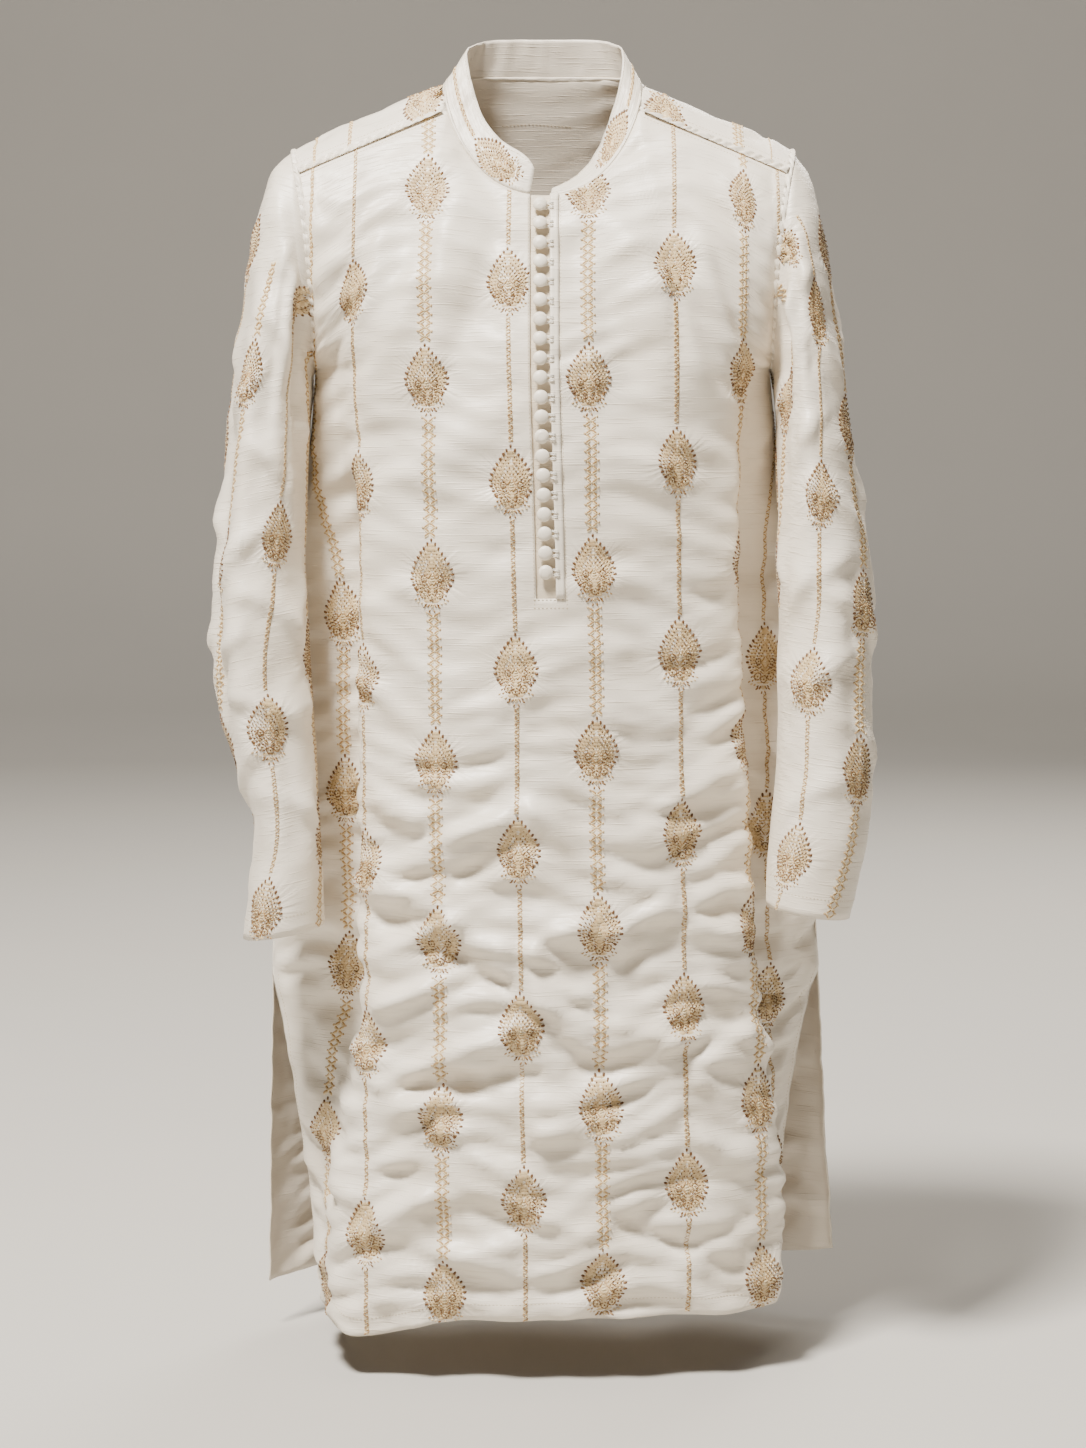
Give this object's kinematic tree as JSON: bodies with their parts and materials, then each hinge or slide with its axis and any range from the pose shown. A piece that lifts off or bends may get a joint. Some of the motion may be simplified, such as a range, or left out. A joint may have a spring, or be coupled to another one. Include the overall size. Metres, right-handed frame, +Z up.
{
  "type": "long embroidered kurta with band collar, buttoned placket and side slits",
  "caption": "Long embroidered tunic held in its worn shape with nobody in it: band collar, half-length loop-and-button opening, long set-in sleeves and open side slits.",
  "frame": {"origin": "middle of the neck, level with the high points of the shoulders, where the wearer's neck and shoulders hold the garment", "axes": "+Z up along the wearer's body; the garment's front faces -Y; +X is on the right of a viewer who faces the front"},
  "size_m": [0.5734, 0.2527, 1.1356],
  "materials": {
    "cloth": "slubbed silk, soft sheen",
    "button": "covered in the same silk",
    "loop": "twisted silk cord"
  },
  "bodies": {
    "root": {"front": "cloth", "back": "cloth", "sleeve_left": "cloth", "sleeve_right": "cloth", "collar": "cloth", "placket_strip": "cloth", "placket_binding": "cloth", "button_01": "button", "button_02": "button", "button_03": "button", "button_04": "button", "button_05": "button", "button_06": "button", "button_07": "button", "button_08": "button", "button_09": "button", "button_10": "button", "button_11": "button", "button_12": "button", "button_13": "button", "button_14": "button", "button_15": "button", "button_16": "button", "button_17": "button", "button_18": "button", "button_19": "button", "button_20": "button", "loop_01": "loop", "loop_02": "loop", "loop_03": "loop", "loop_04": "loop", "loop_05": "loop", "loop_06": "loop", "loop_07": "loop", "loop_08": "loop", "loop_09": "loop", "loop_10": "loop", "loop_11": "loop", "loop_12": "loop", "loop_13": "loop", "loop_14": "loop", "loop_15": "loop", "loop_16": "loop", "loop_17": "loop", "loop_18": "loop", "loop_19": "loop", "loop_20": "loop"}
  },
  "joints": []
}
